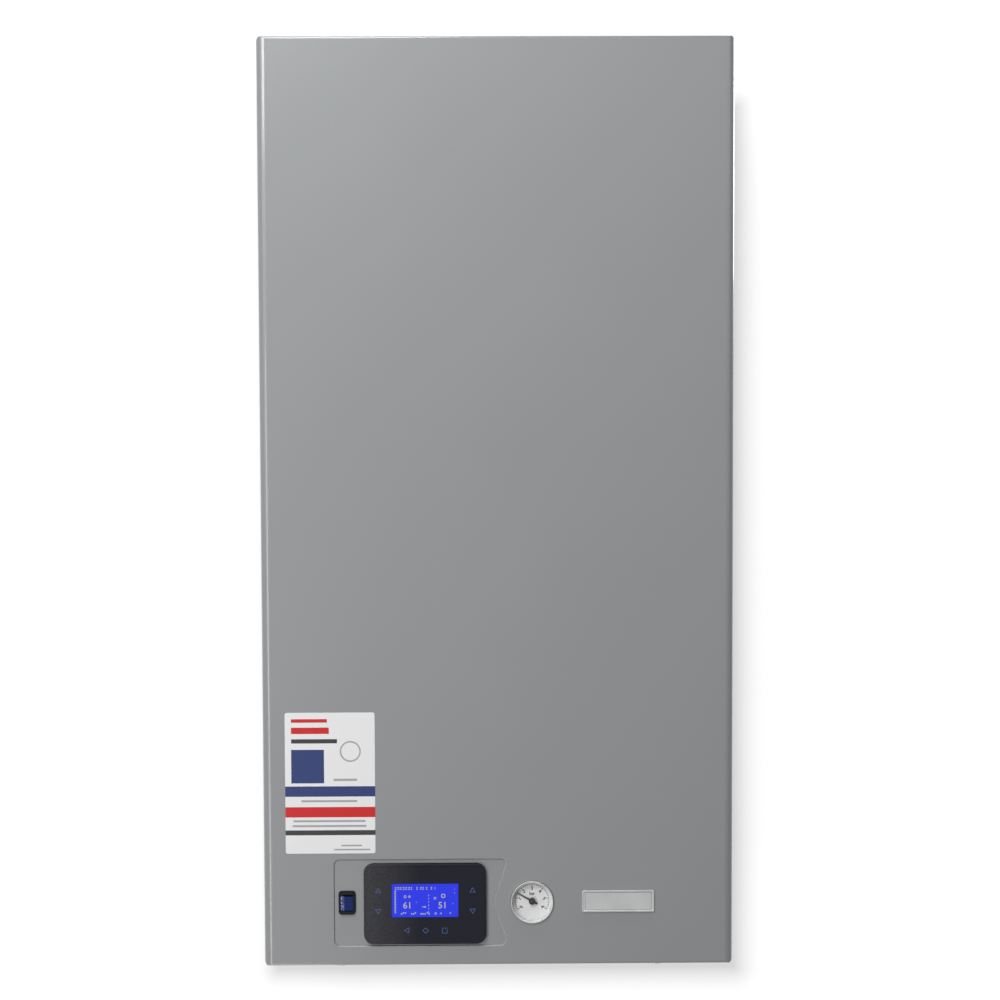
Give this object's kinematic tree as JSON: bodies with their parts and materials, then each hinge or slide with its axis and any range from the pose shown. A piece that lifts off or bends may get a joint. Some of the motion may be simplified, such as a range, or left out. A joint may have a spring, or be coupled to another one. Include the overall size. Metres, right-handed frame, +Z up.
{
  "type": "electric combi boiler",
  "caption": "Wall-hung electric combi boiler: sheet steel case with display, rocker switch and pressure gauge, pull-off cover, heating vessel, pump and pipe tails below.",
  "frame": {"origin": "middle of the wall rail's two screw holes, on the wall plane", "axes": "+X to the right seen from the front, +Y into the wall, +Z up; the front faces -Y"},
  "size_m": [0.444, 0.2825, 0.882],
  "materials": {
    "wall_rail": "zinc plated, satin",
    "back_panel": "galvanised sheet",
    "wall_pads": "matt",
    "top_plate": "galvanised sheet",
    "bottom_plate": "galvanised sheet",
    "front_posts": "galvanised sheet",
    "front_cover": "silver powder coat",
    "cover_screws": "zinc plated",
    "cover_badge": "pale, plain",
    "cover_label": "printed film, plain bands",
    "control_fascia": "galvanised sheet",
    "display_housing": "gloss black",
    "display_glass": "gloss black",
    "lcd_panel": "lit blue",
    "display_board": "solder mask green",
    "rocker_housing": "satin black",
    "rocker_button": "navy lens",
    "gauge_case": "pale grey",
    "gauge_dial": "white",
    "gauge_lens": "clear",
    "gauge_needle": "black",
    "capillary_tubes": "bare copper",
    "thermostat_body": "moulded",
    "reset_button": "red",
    "electrical_tray": "galvanised sheet",
    "main_board": "solder mask green",
    "board_components": "moulded, dark",
    "din_rail": "zinc plated",
    "contactor": "moulded, dark",
    "contactor_plunger": "orange",
    "terminal_block": "beige",
    "cable_glands": "black polyamide",
    "live_wires": "brown insulation",
    "neutral_wires": "blue insulation",
    "earth_wires": "green and yellow insulation",
    "display_cable": "grey sheath",
    "heater_vessel": "stainless sheet",
    "heater_jacket": "foam with a dark skin",
    "heating_elements": "brass heads",
    "heater_bracket": "galvanised strap",
    "air_vent_body": "brass",
    "air_vent_cap": "black",
    "expansion_vessel": "red enamel",
    "vessel_diaphragm": "matt",
    "vessel_hose": "braided",
    "pump_volute": "painted",
    "pump_motor": "red enamel",
    "pump_rotor": "turned",
    "plate_exchanger": "brazed stainless",
    "diverter_body": "brass",
    "diverter_motor": "moulded",
    "diverter_stem": "turned",
    "safety_valve": "brass",
    "safety_knob": "red",
    "flow_sensor": "brass",
    "flow_turbine": "white",
    "fill_valve": "brass",
    "fill_knob": "blue",
    "pipe_tails": "brass",
    "copper_pipes": "copper"
  },
  "bodies": {
    "chassis": {"wall_rail": "wall_rail", "back_panel": "back_panel", "wall_pads": "wall_pads", "top_plate": "top_plate", "bottom_plate": "bottom_plate", "front_posts": "front_posts", "control_fascia": "control_fascia", "display_housing": "display_housing", "display_glass": "display_glass", "lcd_panel": "lcd_panel", "display_board": "display_board", "rocker_housing": "rocker_housing", "gauge_case": "gauge_case", "gauge_dial": "gauge_dial", "gauge_lens": "gauge_lens", "capillary_tubes": "capillary_tubes", "thermostat_body": "thermostat_body", "electrical_tray": "electrical_tray", "main_board": "main_board", "board_components": "board_components", "din_rail": "din_rail", "contactor": "contactor", "terminal_block": "terminal_block", "cable_glands": "cable_glands", "live_wires": "live_wires", "neutral_wires": "neutral_wires", "earth_wires": "earth_wires", "display_cable": "display_cable", "heater_vessel": "heater_vessel", "heater_jacket": "heater_jacket", "heating_elements": "heating_elements", "heater_bracket": "heater_bracket", "air_vent_body": "air_vent_body", "expansion_vessel": "expansion_vessel", "vessel_diaphragm": "vessel_diaphragm", "vessel_hose": "vessel_hose", "pump_volute": "pump_volute", "pump_motor": "pump_motor", "plate_exchanger": "plate_exchanger", "diverter_body": "diverter_body", "diverter_motor": "diverter_motor", "safety_valve": "safety_valve", "flow_sensor": "flow_sensor", "fill_valve": "fill_valve", "pipe_tails": "pipe_tails", "copper_pipes": "copper_pipes"},
    "cover": {"front_cover": "front_cover", "cover_screws": "cover_screws", "cover_badge": "cover_badge", "cover_label": "cover_label"},
    "rocker": {"rocker_button": "rocker_button"},
    "needle": {"gauge_needle": "gauge_needle"},
    "reset": {"reset_button": "reset_button"},
    "plunger": {"contactor_plunger": "contactor_plunger"},
    "vent_cap": {"air_vent_cap": "air_vent_cap"},
    "rotor": {"pump_rotor": "pump_rotor"},
    "stem": {"diverter_stem": "diverter_stem"},
    "safety_handle": {"safety_knob": "safety_knob"},
    "turbine": {"flow_turbine": "flow_turbine"},
    "fill_handle": {"fill_knob": "fill_knob"}
  },
  "joints": [
    {"name": "cover_slide", "type": "slide", "parent": "chassis", "child": "cover", "axis": [0, -1, 0], "range_m": [0, 0.32]},
    {"name": "rocker_tilt", "type": "hinge", "parent": "chassis", "child": "rocker", "pos_m": [-0.1432, -0.2764, -0.74], "axis": [1, 0, 0], "range_deg": [-18, 0]},
    {"name": "needle_turn", "type": "hinge", "parent": "chassis", "child": "needle", "pos_m": [0.0317, -0.2765, -0.74], "axis": [0, 1, 0], "range_deg": [-58.8, 181.2], "stiffness_Nm_per_rad": 0.0002},
    {"name": "reset_press", "type": "slide", "parent": "chassis", "child": "reset", "axis": [0, 1, 0], "range_m": [0, 0.002], "stiffness_N_per_m": 200},
    {"name": "plunger_press", "type": "slide", "parent": "chassis", "child": "plunger", "axis": [0, 1, 0], "range_m": [0, 0.0035], "stiffness_N_per_m": 200},
    {"name": "vent_cap_turn", "type": "hinge", "parent": "chassis", "child": "vent_cap", "pos_m": [-0.125, -0.15, -0.084], "axis": [0, 0, 1], "range_deg": [0, 360]},
    {"name": "pump_spin", "type": "hinge", "parent": "chassis", "child": "rotor", "pos_m": [0.14, -0.13, -0.6], "axis": [0, 1, 0], "continuous": true},
    {"name": "stem_slide", "type": "slide", "parent": "chassis", "child": "stem", "axis": [0, 1, 0], "range_m": [0, 0.006], "stiffness_N_per_m": 300},
    {"name": "safety_turn", "type": "hinge", "parent": "chassis", "child": "safety_handle", "pos_m": [0, -0.185, -0.7], "axis": [0, -1, 0], "range_deg": [0, 90]},
    {"name": "turbine_spin", "type": "hinge", "parent": "chassis", "child": "turbine", "pos_m": [0.075, -0.1, -0.723], "axis": [0, 0, 1], "continuous": true},
    {"name": "fill_turn", "type": "hinge", "parent": "chassis", "child": "fill_handle", "pos_m": [0.1065, -0.1, -0.8], "axis": [0, 0, 1], "range_deg": [0, 180]}
  ]
}
